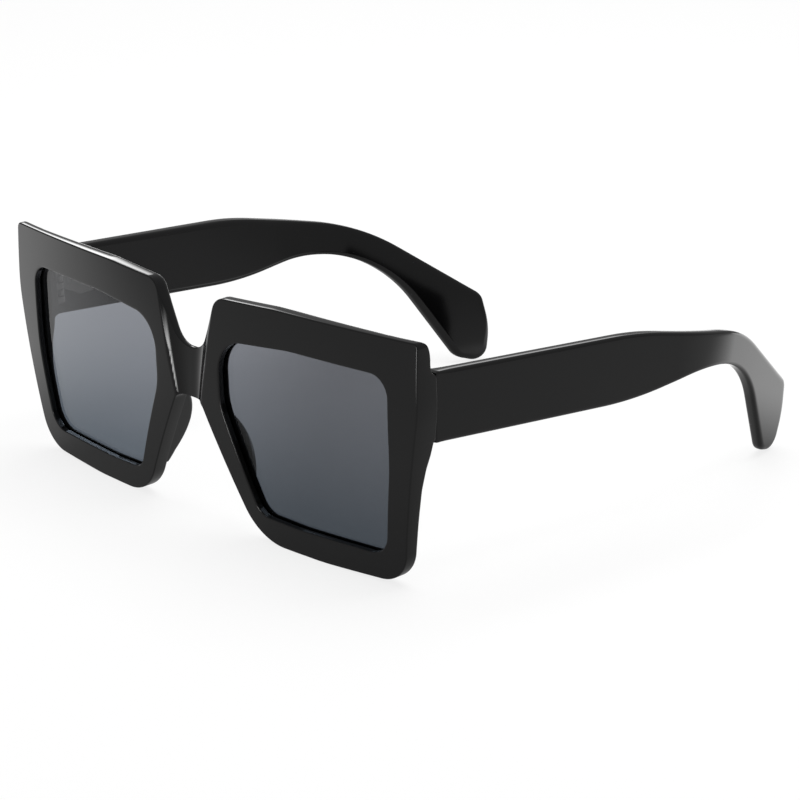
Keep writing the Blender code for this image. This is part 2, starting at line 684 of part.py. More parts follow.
def add_hinge_screw(side, parent, surface):
    """The pin of the hinge: a slotted screw let in from above."""
    seat = BARREL_STACK / 2 + HINGE_SCREW_HEAD_GAP
    top = seat + HINGE_SCREW_HEAD_HEIGHT
    profile = [
        (0, top),
        (HINGE_SCREW_HEAD_RADIUS, top),
        (HINGE_SCREW_HEAD_RADIUS, seat),
        (HINGE_SCREW_RADIUS, seat),
        (HINGE_SCREW_RADIUS, -BARREL_STACK / 2),
        (0, -BARREL_STACK / 2),
    ]
    name = f"hinge_screw_{SIDE_NAMES[side]}"
    screw = add_object(name, turned(profile), parent, side, surface)
    half, long = SLOT_WIDTH / 2, 2 * HINGE_SCREW_HEAD_RADIUS
    slot = box(-long, long, -half, half, top - SLOT_DEPTH, top + OVERRUN)
    add_cutter([screw], f"{name}_slot_cutter", slot, parent, side)


def leaf_screw_profile(gap):
    """Profile of a countersunk leaf screw whose head lies flush at z 0, or of its hole."""
    head = LEAF_SCREW_HEAD_RADIUS + gap
    shank = LEAF_SCREW_RADIUS + gap
    cone = LEAF_SCREW_HEAD_RADIUS - LEAF_SCREW_RADIUS
    rim = OVERRUN if gap else 0
    return [
        (0, rim),
        (head, rim),
        (head, -gap),
        (shank, -gap - cone),
        (shank, -LEAF_SCREW_LENGTH - gap),
        (0, -LEAF_SCREW_LENGTH - gap),
    ]


def add_leaf_screw(name, place, turn, cut, parent, side, surface):
    """A screw through a leaf into the plastic, and the countersunk hole it sits in."""
    where = Matrix.Translation(place) @ turn
    screw = turned(leaf_screw_profile(0))
    screw.transform(where)
    add_object(name, screw, parent, side, surface)
    hole = turned(leaf_screw_profile(LEAF_SCREW_GAP))
    hole.transform(where)
    add_cutter(cut, f"{name}_hole_cutter", hole, parent, side)


def add_front_hinge_half(side, front_part, pin, steel):
    """The front leaf sunk flush in the end piece, with its two screws and the pin."""
    label = SIDE_NAMES[side]
    leaf = add_leaf(f"hinge_front_leaf_{label}", FRONT_LEAF_REACH, (1, 3), pin, side, steel)
    half = BARREL_STACK / 2 + SEAT_GAP
    pocket = box(
        -BARREL_RADIUS - SEAT_GAP,
        FRONT_LEAF_REACH + SEAT_GAP,
        -LEAF_OFFSET - LEAF_THICKNESS - SEAT_GAP,
        OVERRUN,
        -half,
        half,
    )
    add_cutter([front_part], f"front_leaf_pocket_cutter_{label}", pocket, pin, side)
    into_block = Matrix.Rotation(math.radians(-90), 4, "X")
    for word, place in (("upper", 1), ("lower", -1)):
        spot = Vector((FRONT_SCREW_REACH, -LEAF_OFFSET, place * FRONT_SCREW_HALF_SPACING))
        name = f"front_leaf_screw_{word}_{label}"
        add_leaf_screw(name, spot, into_block, [leaf, front_part], pin, side, steel)
    add_hinge_screw(side, pin, steel)


# Temples, drawn flat about the hinge pin and level with the ground, then bent


def temple_lean(y):
    """Sideways lean of the blade per metre of height, which grows from the hinge to the bend."""
    share = min(max(y / TEMPLE_BEND_Y, 0), 1)
    return TEMPLE_ROOT_LEAN + (TEMPLE_TIP_LEAN - TEMPLE_ROOT_LEAN) * share


def temple_offset(y):
    """How far the bent blade lies outwards at y: straight and splayed, one arc, then straight again."""
    past = y - TEMPLE_BEND_Y
    arc = min(max(past, 0), TEMPLE_BEND_LENGTH)
    straight = max(past - TEMPLE_BEND_LENGTH, 0)
    slope = TEMPLE_BEND_LENGTH / TEMPLE_BEND_RADIUS
    return TEMPLE_SPLAY * y - arc**2 / (2 * TEMPLE_BEND_RADIUS) - slope * straight


def bent(mesh):
    """The flat blade, or what lies in it, sliced, bent and leaned about its middle plane."""
    middle = LEAF_OFFSET + TEMPLE_THICKNESS / 2
    sliced(mesh, 1, BEND_SLICE)
    return moved(mesh, lambda p: (middle + temple_offset(p.y) + temple_lean(p.y) * p.z, 0, 0))


def temple_corners(ground):
    """Corners of the temple's side outline, anticlockwise seen from the wearer's left."""
    slant = math.tan(FRONT_TILT)
    front = BUTT_GAP - LEAF_OFFSET
    return [
        (front + BLADE_BOTTOM_DROP * slant, -BLADE_BOTTOM_DROP, TEMPLE_ROUNDING),
        (BLADE_WAIST_Y, -BLADE_WAIST_BOTTOM_DROP, BLADE_WAIST_ROUNDING),
        (EAR_BOTTOM_Y, -EAR_BOTTOM_DROP, EAR_BOTTOM_ROUNDING),
        (EAR_INSIDE_Y, -EAR_INSIDE_DROP, EAR_INSIDE_ROUNDING),
        (TIP_HEEL_Y, ground + TIP_HEEL_RISE, TIP_HEEL_ROUNDING),
        (TIP_TOE_Y, ground, TIP_TOE_ROUNDING),
        (TIP_REAR_Y, ground + TIP_REAR_RISE, TIP_REAR_ROUNDING),
        (EAR_TOP_Y, -EAR_TOP_DROP, EAR_TOP_ROUNDING),
        (BLADE_WAIST_Y, BLADE_WAIST_TOP_RISE, BLADE_WAIST_ROUNDING),
        (front - BLADE_TOP_RISE * slant, BLADE_TOP_RISE, TEMPLE_ROUNDING),
    ]


def standing_temple_corners():
    """The corners with the toe let down so that its rounded lowest point comes just below the ground."""
    ground = -HINGE_RISE - REST_FLAT_DEPTH
    lowest = min(point.y for point in filleted(temple_corners(ground)))
    return temple_corners(2 * ground - lowest)


def core_wire(radius, start_y, past_end=0):
    """A round wire in the middle of the flat blade, straight to the waist and then round the ear bend."""
    slope = (CORE_ROOT_DROP - CORE_WAIST_DROP) / BLADE_WAIST_Y
    waist = Vector((BLADE_WAIST_Y, -CORE_WAIST_DROP))
    knee = Vector((CORE_KNEE_Y, -CORE_KNEE_DROP))
    end = Vector((CORE_END_Y, -CORE_END_DROP))
    end += (end - knee).normalized() * past_end
    path = [Vector((start_y, slope * start_y - CORE_ROOT_DROP))]
    path += interpolate_bezier(waist, knee, knee, end, CORE_BEND_POINTS)
    curve = bpy.data.curves.new("core", "CURVE")
    curve.dimensions = "3D"
    curve.bevel_depth = radius
    curve.bevel_resolution = CORE_SIDES_RESOLUTION
    curve.use_fill_caps = True
    spline = curve.splines.new("POLY")
    spline.points.add(len(path) - 1)
    for point, place in zip(spline.points, path):
        point.co = (0, place[0], place[1], 1)
    return baked(bpy.data.objects.new("core", curve))


def temple_mesh():
    """The blade cut flat with its wire channel, then sliced and bent."""
    mesh = plate(standing_temple_corners(), TEMPLE_THICKNESS, TEMPLE_ROUNDING)
    # The sheet's axes (length, height, thickness) become (Y, Z, X).
    mesh.transform(Matrix(((0, 0, 1, 0), (1, 0, 0, 0), (0, 1, 0, 0), (0, 0, 0, 1))))
    channel = core_wire(CORE_RADIUS + SEAT_GAP, -LEAF_OFFSET - OVERRUN, SEAT_GAP)
    mesh = combined(mesh, channel, "DIFFERENCE")
    return bent(mesh)


def add_temple(side, pivot, plastic, steel):
    """The bent temple, its core wire, the leaf let into its inner face and the leaf's two screws."""
    label = SIDE_NAMES[side]
    temple = add_object(f"temple_{label}", temple_mesh(), pivot, side, plastic)
    temple.rotation_euler.x = -FRONT_TILT
    wire = bent(core_wire(CORE_RADIUS, CORE_SETBACK))
    core = add_object(f"temple_core_{label}", wire, pivot, side, steel)
    core.rotation_euler.x = -FRONT_TILT

    leaf = add_leaf(
        f"hinge_temple_leaf_{label}", TEMPLE_LEAF_REACH, (0, 2, 4), pivot, side, steel, swap=True
    )
    half = BARREL_STACK / 2 + SEAT_GAP
    pocket = box(
        -OVERRUN,
        LEAF_OFFSET + LEAF_THICKNESS + SEAT_GAP,
        -LEAF_OFFSET - OVERRUN,
        TEMPLE_LEAF_REACH + SEAT_GAP,
        -half,
        half,
    )
    add_cutter([temple], f"temple_leaf_pocket_cutter_{label}", pocket, pivot, side)
    into_blade = Matrix.Rotation(math.radians(-90), 4, "Y")
    for word, reach in (("front", TEMPLE_SCREW_NEAR), ("rear", TEMPLE_SCREW_FAR)):
        spot = Vector((LEAF_OFFSET, reach, 0))
        name = f"temple_leaf_screw_{word}_{label}"
        add_leaf_screw(name, spot, into_blade, [leaf, temple], pivot, side, steel)
    return temple


# The whole pair


def centre_footprint(root):
    """Moves the pair along Y until its middle stands over the origin."""
    bpy.context.view_layer.update()
    places = [
        (obj.matrix_world @ vertex.co).y
        for obj in bpy.data.collections[OBJECT_NAME].objects
        if obj.type == "MESH"
        for vertex in obj.data.vertices
    ]
    root.location.y = -(min(places) + max(places)) / 2


def build():
    for obj in list(bpy.data.objects):
        bpy.data.objects.remove(obj)
    for name in (OBJECT_NAME, "cutters"):
        bpy.context.scene.collection.children.link(bpy.data.collections.new(name))

    plastic = material("gloss_black_plastic", (0.008, 0.008, 0.009), 0.08)
    smoke = material("smoke_lens", (0.055, 0.062, 0.072), 0.03, transmission=0.6)
    steel = material("hinge_steel", (0.55, 0.55, 0.56), 0.28, metallic=1)

    root = add_empty("footprint", None)
    front = add_empty("front_frame", root, (0, 0, FRONT_LIFT), FRONT_TILT)
    front_part = add_object("frame_front", front_mesh(), front, LEFT, plastic)
    standing = [front_part]
    for side in (LEFT, RIGHT):
        label = SIDE_NAMES[side]
        add_object(f"lens_{label}", lens_mesh(), front, side, smoke)
        add_nose_pad(side, front, plastic)
        seat = add_empty(f"hinge_seat_{label}", front, (side * HINGE_X, HINGE_Y, HINGE_HEIGHT))
        add_front_hinge_half(side, front_part, seat, steel)
        pivot = add_empty(f"temple_pivot_{label}", seat)
        standing.append(add_temple(side, pivot, plastic, steel))

    reach = 2 * TIP_REAR_Y
    ground = box(-reach, reach, -reach, reach, -HINGE_RISE, 0)
    add_cutter(standing, "ground_cutter", ground, None)
    centre_footprint(root)


build()
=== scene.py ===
import json
import math

import bmesh
import bpy
import numpy as np
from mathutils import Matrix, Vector


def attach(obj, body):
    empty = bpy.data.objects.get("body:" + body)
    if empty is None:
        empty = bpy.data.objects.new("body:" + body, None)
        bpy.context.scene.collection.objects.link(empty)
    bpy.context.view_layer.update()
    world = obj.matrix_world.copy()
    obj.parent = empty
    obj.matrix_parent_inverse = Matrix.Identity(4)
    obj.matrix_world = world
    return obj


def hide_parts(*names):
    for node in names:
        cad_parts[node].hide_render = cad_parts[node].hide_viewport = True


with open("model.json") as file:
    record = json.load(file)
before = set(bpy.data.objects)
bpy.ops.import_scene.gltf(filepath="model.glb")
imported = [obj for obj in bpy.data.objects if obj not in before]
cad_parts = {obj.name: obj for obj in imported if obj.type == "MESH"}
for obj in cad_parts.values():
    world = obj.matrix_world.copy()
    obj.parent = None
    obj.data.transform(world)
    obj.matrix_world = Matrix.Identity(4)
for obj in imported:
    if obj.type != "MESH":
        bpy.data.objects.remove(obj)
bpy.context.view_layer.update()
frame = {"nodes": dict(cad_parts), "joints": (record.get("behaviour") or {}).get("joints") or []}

# FRONT
# One piece of thick black plastic: two square rims, a hollowed bridge between them and a block
# behind each outer edge for the hinge. It is cut from sheet, bowed, and tumbled to a high polish.

FRONT_TILT = math.radians(3.87)
FRONT_CURVE_RADIUS = 0.542
FRONT_BOW_RADIUS = 0.291
BOW_CENTRE_HEIGHT = 0.0280
PLATE = 0.0038
FRONT_ROUNDING = 0.0003
OPENING_BACK_ROUNDING = 0.0003
# The hinge pin in the flat drawing, (x, depth, height), and how far before it the temple butts
HINGE_FLAT = (0.06665, 0.012984, 0.0407)
PIN_TO_BUTT = 0.00155
BUTT_DEPTH = HINGE_FLAT[1] - PIN_TO_BUTT
BUTT_RELIEF = 0.00008

# The left half of the outline: (x, z, rounding), from under the bridge round the rim to the notch,
# and at each of those corners how far its rounding at the back reaches inwards and forwards
HALF_OUTLINE = [
    (0, 0.0300, 0),
    (0.0045, 0.0300, 0.0025),
    (0.0211, 0.0003, 0.014),
    (0.0410, 0, 0.060),
    (0.0666, 0.0011, 0.0088),
    (0.0733, 0.0415, 0.040),
    (0.0733, 0.0571, 0.0012),
    (0.0300, 0.0569, 0.060),
    (0.0113, 0.0560, 0.0042),
    (0.0040, 0.0418, 0.0060),
    (0, 0.0418, 0),
]
BACK_ROUNDING = np.array([
    (1.0, 0.9), (0.3, 0.3), (0.8, 0.8), (1.1, 1.1), (1.1, 1.1), (0.5, 0.5),
    (0.3, 0.3), (1.4, 1.4), (1.8, 1.6), (2.0, 1.5), (1.6, 1.3),
]) / 1000
# The end piece's side profile as (height, depth of its back), and the x at which it starts and is full
END_PIECE = np.array([
    (0.0084, 0.0036), (0.0160, 0.0038), (0.0232, 0.0041), (0.0278, 0.0048),
    (0.0311, 0.0057), (0.0337, 0.0061), (0.0341, 0.0080), (0.0487, 0.0080),
    (0.0490, 0.0054), (0.0497, 0.0046), (0.0504, 0.0041), (0.0519, 0.0039),
])
END_PIECE_START = (0.0632, 0.0648)
# The brow as (x, height), and at an inner and an outer x how far the fall of its back reaches down
# and forwards
BROW = np.array([(0.0113, 0.0560), (0.0300, 0.0569), (0.0733, 0.0571)])
BROW_FALL_X = (0.028, 0.066)
BROW_FALL_DOWN = (0.0002, 0.0049)
BROW_FALL_FORWARDS = (0, 0.0024)
# The left lens opening, from its nasal bottom corner round by the outer side, and the heights
# between which its nasal side faces the bridge
OPENING = [
    (0.0224, 0.0069, 0.0050),
    (0.0350, 0.0064, 0.060),
    (0.0620, 0.0069, 0.0055),
    (0.0648, 0.0280, 0.060),
    (0.0648, 0.0484, 0.0050),
    (0.0350, 0.0484, 0.060),
    (0.0117, 0.0463, 0.0085),
    (0.0117, 0.0310, 0.014),
]
NASAL_SPAN = (0.0385, 0.0330)
LENS_SETBACK = 0.0017
LENS_THICKNESS = 0.0013
GROOVE_DEPTH = 0.0012
SEAT_GAP = 0.0003
# The hollow in the bridge, its ends as (height, half width)
TROUGH_TOP = (0.0418, 0.0074)
TROUGH_BOTTOM = (0.0300, 0.0046)
TROUGH_SLOPE = math.tan(math.radians(37))
TROUGH_POWER = 3.1
TROUGH_EASE = 0.00005

pin_left = next(j for j in frame["joints"] if j["name"] == "left_fold")["pos_m"]
cos_tilt, sin_tilt = math.cos(FRONT_TILT), math.sin(FRONT_TILT)
front_shift_y = pin_left[1] - (HINGE_FLAT[1] * cos_tilt - HINGE_FLAT[2] * sin_tilt)
front_shift_z = pin_left[2] - (HINGE_FLAT[1] * sin_tilt + HINGE_FLAT[2] * cos_tilt)


def bow(x, z):
    """Depth of the curved face: x squared and height squared, each over twice its radius."""
    return x**2 / (2 * FRONT_CURVE_RADIUS) + (z - BOW_CENTRE_HEIGHT) ** 2 / (2 * FRONT_BOW_RADIUS)


def standing(x, depth, z):
    """The flat drawing bowed, tilted back about X and set down; what lies under the floor is cut flat."""
    y = depth + bow(x, z)
    world = np.stack([
        x * np.ones_like(y),
        y * cos_tilt - z * sin_tilt + front_shift_y,
        y * sin_tilt + z * cos_tilt + front_shift_z,
    ], axis=-1)
    world[..., 2] = np.maximum(world[..., 2], 0)
    return world


def rounded(corners, closed):
    """(points, middle of each corner): every corner becomes an arc that touches both its sides.

    Its centre lies radius / sin(half the inside angle) along the corner's bisector, and the arc
    is the start point turned about it in equal steps."""
    plan = np.array([corner[:2] for corner in corners], float)
    parts, middles, count = [], [], 0
    for index, (x, z, radius) in enumerate(corners):
        at = plan[index]
        if radius <= 0:
            arc = at[None]
        else:
            to_last = plan[index - 1] - at
            to_next = plan[(index + 1) % len(plan)] - at
            to_last, to_next = to_last / np.hypot(*to_last), to_next / np.hypot(*to_next)
            inside = math.acos(float(np.clip(to_last @ to_next, -1, 1)))
            bisector = (to_last + to_next) / np.hypot(*(to_last + to_next))
            centre = at + bisector * radius / math.sin(inside / 2)
            start = at + to_last * radius / math.tan(inside / 2) - centre
            sign = math.copysign(1, to_last[1] * to_next[0] - to_last[0] * to_next[1])
            turn = sign * (math.pi - inside) * np.linspace(0, 1, 33)
            arc = centre + np.stack([
                start[0] * np.cos(turn) - start[1] * np.sin(turn),
                start[0] * np.sin(turn) + start[1] * np.cos(turn),
            ], axis=-1)
        parts.append(arc)
        middles.append(count + len(arc) // 2)
        count += len(arc)
    points = np.concatenate(parts)
    if closed:
        points = np.concatenate([points, points[:1]])
    return points, middles


def evenly(line, count):
    """count points at equal distances along a line, found by its running length."""
    run = np.concatenate([[0], np.cumsum(np.hypot(*np.diff(line, axis=0).T))])
    places = np.linspace(0, run[-1], count)
    return np.stack([np.interp(places, run, line[:, axis]) for axis in (0, 1)], axis=-1)


def outward(line, closed=False):
    """Unit normals to the right of a line that runs anticlockwise: its central differences turned."""
    if closed:
        step = np.roll(line, -1, axis=0) - np.roll(line, 1, axis=0)
    else:
        step = np.gradient(line, axis=0)
    step /= np.linalg.norm(step, axis=1, keepdims=True)
    return np.stack([step[:, 1], -step[:, 0]], axis=-1)


def mesh_piece(name, grids, sharp=32):
    """One object from grids of points, (rows, columns, 3): equal points are welded, faces turned out."""
    corners, faces, start = [], [], 0
    for grid in grids:
        rows, columns = grid.shape[:2]
        index = start + np.arange(rows * columns).reshape(rows, columns)
        quads = np.stack([index[:-1, :-1], index[1:, :-1], index[1:, 1:], index[:-1, 1:]], axis=-1)
        corners.append(grid.reshape(-1, 3))
        faces.append(quads.reshape(-1, 4))
        start += rows * columns
    mesh = bpy.data.meshes.new(name)
    mesh.from_pydata(np.concatenate(corners), [], np.concatenate(faces))
    body = bmesh.new()
    body.from_mesh(mesh)
    bmesh.ops.remove_doubles(body, verts=body.verts, dist=2e-6)
    bmesh.ops.dissolve_degenerate(body, edges=body.edges, dist=1e-6)
    bmesh.ops.recalc_face_normals(body, faces=body.faces)
    body.to_mesh(mesh)
    body.free()
    mesh.shade_smooth()
    mesh.set_sharp_from_angle(angle=math.radians(sharp))
    piece = bpy.data.objects.new(name, mesh)
    bpy.context.scene.collection.objects.link(piece)
    return piece


def smooth_step(value, low, high):
    """0 below low, 1 above high, and 3t^2 - 2t^3 between."""
    t = np.clip((value - low) / (high - low), 0, 1)
    return t * t * (3 - 2 * t)


def trough(x, z):
    """Depth of the hollow in the bridge: it meets the face at the same slope all the way up, and is
    d = slope * w / p * (1 - (x / w)^p) deep, its half width w growing upwards; e * log(1 + exp(d / e))
    eases the crease."""
    widen = (TROUGH_TOP[1] - TROUGH_BOTTOM[1]) / (TROUGH_TOP[0] - TROUGH_BOTTOM[0])
    half_width = np.maximum(TROUGH_BOTTOM[1] + widen * (z - TROUGH_BOTTOM[0]), 0.0001)
    deepest = TROUGH_SLOPE * half_width / TROUGH_POWER
    depth = deepest * (1 - (np.abs(x) / half_width) ** TROUGH_POWER)
    return TROUGH_EASE * np.logaddexp(0, depth / TROUGH_EASE)


def back_depth(x, z):
    """Flat depth of the back: the sheet, raised behind the outer rim to the end piece's side profile,
    and along the brow less the fall of a quarter ellipse that grows towards the outer end."""
    block = np.minimum(np.interp(z, *END_PIECE.T), BUTT_DEPTH - BUTT_RELIEF - bow(x, z))
    depth = PLATE + (block - PLATE) * smooth_step(x, *END_PIECE_START)
    top = np.interp(x, *BROW.T)
    reach = np.interp(x, BROW_FALL_X, BROW_FALL_DOWN)
    fall = np.interp(x, BROW_FALL_X, BROW_FALL_FORWARDS)
    share = np.clip((z - top + reach) / reach, 0, 1)
    return depth - fall * (1 - np.sqrt(1 - share**2))


def front_half():
    """Grids of the left half: the face, the back, the outer wall and the grooved wall of the opening.

    Face and back are straight lines from the opening to the outer edge, matched corner to corner."""
    outer, outer_mid = rounded(HALF_OUTLINE, closed=False)
    inner, inner_mid = rounded(OPENING, closed=True)
    nasal = inner[inner_mid[6]:]
    start, end = (int(np.argmin(abs(nasal[:, 1] - height))) for height in NASAL_SPAN)
    nasal = np.concatenate([nasal, inner[:inner_mid[0] + 1]])
    counts = (70, 110, 110, 110, 50, 40)
    outer_parts = [
        evenly(outer[:outer_mid[2] + 1], counts[0]),
        evenly(outer[outer_mid[2]:outer_mid[4] + 1], counts[1]),
        evenly(outer[outer_mid[4]:outer_mid[6] + 1], counts[2]),
        evenly(outer[outer_mid[6]:outer_mid[8] + 1], counts[3]),
        evenly(outer[outer_mid[8]:], counts[4]),
    ]
    inner_parts = [
        evenly(nasal[end:], counts[0]),
        evenly(inner[inner_mid[0]:inner_mid[2] + 1], counts[1]),
        evenly(inner[inner_mid[2]:inner_mid[4] + 1], counts[2]),
        evenly(inner[inner_mid[4]:inner_mid[6] + 1], counts[3]),
        evenly(nasal[:start + 1], counts[4]),
        evenly(nasal[start:end + 1], counts[5]),
    ]
    edge = np.concatenate([outer_parts[0]] + [part[1:] for part in outer_parts[1:]])
    hole = np.concatenate([inner_parts[0]] + [part[1:] for part in inner_parts[1:]])[:-1]
    edge_out = outward(edge)
    edge_out[0], edge_out[-1] = (0, -1), (0, 1)
    hole_out = -outward(hole, closed=True)
    keys = [np.argmin(np.hypot(*(edge - corner[:2]).T)) for corner in HALF_OUTLINE]
    inwards, forwards = (np.interp(np.arange(len(edge)), keys, column) for column in BACK_ROUNDING.T)

    def wall(line, normals, inset, depth):
        place = line - normals * np.asarray(inset)[..., None]
        return standing(place[:, 0], depth, place[:, 1])

    def sweep(angle, radius):
        """How far a rounding of that radius lies inwards of the wall and off the face at an angle."""
        return radius * (1 - math.sin(angle)), radius * (1 - math.cos(angle))

    quarter = np.linspace(0, np.pi / 2, 7)
    rows = []
    for angle in quarter:
        inset, behind = sweep(angle, FRONT_ROUNDING)
        place = edge - edge_out * inset
        rows.append(wall(edge, edge_out, inset, trough(place[:, 0], place[:, 1]) + behind))
    for angle in quarter[::-1]:
        inset, before = sweep(angle, inwards)[0], sweep(angle, forwards)[1]
        place = edge - edge_out * inset[:, None]
        rows.append(wall(edge, edge_out, inset, back_depth(place[:, 0], place[:, 1]) - before))
    outer_wall = np.stack(rows)

    loop = np.concatenate([hole, hole[:1]])
    loop_out = np.concatenate([hole_out, hole_out[:1]])
    groove_front = LENS_SETBACK - SEAT_GAP
    groove_back = LENS_SETBACK + LENS_THICKNESS + SEAT_GAP
    loop_back = back_depth(loop[:, 0], loop[:, 1])
    profile = [sweep(angle, FRONT_ROUNDING) for angle in quarter] + [
        (0, groove_front), (GROOVE_DEPTH, groove_front), (GROOVE_DEPTH, groove_back), (0, groove_back),
    ]
    rows = [wall(loop, loop_out, inset, depth) for inset, depth in profile]
    for angle in quarter[::-1]:
        inset, before = sweep(angle, OPENING_BACK_ROUNDING)
        rows.append(wall(loop, loop_out, inset, loop_back - before))
    opening_wall = np.stack(rows)

    middle = np.linspace(1, 0, counts[5])[1:-1]
    spread = (1 - (1 - np.linspace(0, 1, 37)) ** 1.8)[:, None, None]

    def face(edge_inset, hole_inset, depth):
        outside = edge - edge_out * np.asarray(edge_inset)[..., None]
        low, high = outside[0, 1], outside[-1, 1]
        centre = np.stack([np.zeros_like(middle), low + (high - low) * middle], axis=-1)
        outside = np.concatenate([outside, centre, outside[:1]])
        inside = loop - loop_out * hole_inset
        place = inside + (outside - inside) * spread
        return standing(place[..., 0], depth(place[..., 0], place[..., 1]), place[..., 1])

    front_face = face(FRONT_ROUNDING, FRONT_ROUNDING, trough)
    back_face = face(inwards, OPENING_BACK_ROUNDING, back_depth)
    return [front_face, outer_wall, back_face, opening_wall]


half = front_half()
front = mesh_piece("front", half + [grid * (-1, 1, 1) for grid in half])
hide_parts("frame_front")
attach(front, "front")


def linear(code):
    """A colour for a shader from its sRGB hex code: each channel by the sRGB curve."""
    channels = np.array([int(code[i:i + 2], 16) / 255 for i in (1, 3, 5)])
    low, high = channels / 12.92, ((channels + 0.055) / 1.055) ** 2.4
    return (*np.where(channels <= 0.04045, low, high), 1.0)


def new_material(name):
    """A material with an empty Principled shader, and the shader."""
    made = bpy.data.materials.new(name)
    made.use_nodes = True
    return made, made.node_tree.nodes["Principled BSDF"]


def add_node(made, kind, settings=(), links=()):
    """A node of a material, world or lamp, its inputs linked or set as {input: socket or value}."""
    node = made.node_tree.nodes.new(kind)
    for name, value in dict(settings).items():
        setattr(node, name, value)
    for name, value in dict(links).items():
        if isinstance(value, bpy.types.NodeSocket):
            made.node_tree.links.new(value, node.inputs[name])
        else:
            node.inputs[name].default_value = value
    return node


# Cellulose acetate, tumbled and buffed: black right through, a deep gloss with a faint waviness
# from the polishing wheel.
acetate, shader = new_material("polished_black_acetate")
shader.inputs["Base Color"].default_value = linear("#0b0b0c")
shader.inputs["Roughness"].default_value = 0.07
shader.inputs["IOR"].default_value = 1.49
place = add_node(acetate, "ShaderNodeTexCoord")
# A polishing wheel leaves waves about 9 mm long, so 110 of them fit in a metre.
waves = add_node(acetate, "ShaderNodeTexNoise",
                 links={"Vector": place.outputs["Object"], "Scale": 110, "Detail": 1})
bump = add_node(acetate, "ShaderNodeBump",
                links={"Height": waves.outputs["Fac"], "Strength": 0.02, "Distance": 0.0004})
acetate.node_tree.links.new(bump.outputs["Normal"], shader.inputs["Normal"])
front.data.materials.append(acetate)

# LENSES
# Two smoke grey lenses, moulded a little curved, their edges chamfered and sprung into the grooves.

LENS_CHAMFER = 0.0002


def coons(bottom, right, top, left):
    """The patch between four edges: the two ruled surfaces added, less the bilinear one of the corners."""
    u = np.linspace(0, 1, len(bottom))[:, None, None]
    v = np.linspace(0, 1, len(left))[None, :, None]
    across = (1 - v) * bottom[:, None] + v * top[:, None]
    along = (1 - u) * left[None] + u * right[None]
    corner = (1 - u) * ((1 - v) * bottom[0] + v * top[0]) + u * ((1 - v) * bottom[-1] + v * top[-1])
    return across + along - corner


def lens_grids():
    """The lens outline in four sides, its two faces as patches and its edge as a chamfered strip."""
    line, mid = rounded(OPENING, closed=True)
    sides = [
        evenly(line[mid[0]:mid[2] + 1], 61),
        evenly(line[mid[2]:mid[4] + 1], 61),
        evenly(line[mid[4]:mid[6] + 1], 61),
        evenly(np.concatenate([line[mid[6]:], line[1:mid[0] + 1]]), 61),
    ]
    loop = np.concatenate([side[:-1] for side in sides])
    loop = loop + outward(loop, closed=True) * (GROOVE_DEPTH - SEAT_GAP)
    normals = outward(loop, closed=True)

    def ring(inset, depth):
        place = loop - normals * inset
        place = np.concatenate([place, place[:1]])
        return standing(place[:, 0], np.full(len(place), depth), place[:, 1])

    def face(depth):
        place = loop - normals * LENS_CHAMFER
        place = np.concatenate([place, place[:1]])
        bottom, right, top, left = place[:61], place[60:121], place[120:181][::-1], place[180:][::-1]
        grid = coons(bottom, right, top, left)
        return standing(grid[..., 0], np.full(grid.shape[:2], depth), grid[..., 1])

    near, far = LENS_SETBACK, LENS_SETBACK + LENS_THICKNESS
    edge = np.stack([
        ring(LENS_CHAMFER, near), ring(0, near + LENS_CHAMFER),
        ring(0, far - LENS_CHAMFER), ring(LENS_CHAMFER, far),
    ])
    return [face(near), face(far), edge]


# Smoke tinted polycarbonate with an anti-reflection coating. The smoke tint is its own colour; that it is
# darker towards the bottom is painted shade, the shadowed table behind seen through the lens.
smoke, shader = new_material("smoke_tinted_polycarbonate")
shader.inputs["Roughness"].default_value = 0.02
shader.inputs["IOR"].default_value = 1.5
shader.inputs["Transmission Weight"].default_value = 1
shader.inputs["Specular Tint"].default_value = (0.35, 0.35, 0.35, 1)
place = add_node(smoke, "ShaderNodeTexCoord")
place = add_node(smoke, "ShaderNodeSeparateXYZ", links={"Vector": place.outputs["Object"]})
height = add_node(smoke, "ShaderNodeMapRange",
                  links={"Value": place.outputs["Z"], "From Min": 0.010, "From Max": 0.046})
# Painted shade: the lens colour runs from the darker grey at 10 mm height up to the lighter one at 46 mm.
tint_and_painted_shade = add_node(smoke, "ShaderNodeValToRGB", links={"Fac": height.outputs["Result"]})
tint_and_painted_shade.color_ramp.elements[0].color = linear("#5c646d")
tint_and_painted_shade.color_ramp.elements[1].color = linear("#82858c")
smoke.node_tree.links.new(tint_and_painted_shade.outputs["Color"], shader.inputs["Base Color"])

for label, sign in (("left", 1), ("right", -1)):
    lens = mesh_piece(f"lens_shell_{label}", [grid * (sign, 1, 1) for grid in lens_grids()], sharp=50)
    lens.data.materials.append(smoke)
    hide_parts(f"lens_{label}")
    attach(lens, "front")

# NOSE PADS
# Two half beans of the same black plastic, cemented behind the nasal edge of each rim, flush with it
# towards the nose, and polished in.

PAD_ENDS = (0.0090, 0.0294)
PAD_REACH = 0.0041
PAD_WIDTH = 0.0058
PAD_CREST = 0.0010
PAD_SINK = 0.0006
PAD_INSET = 0.00003


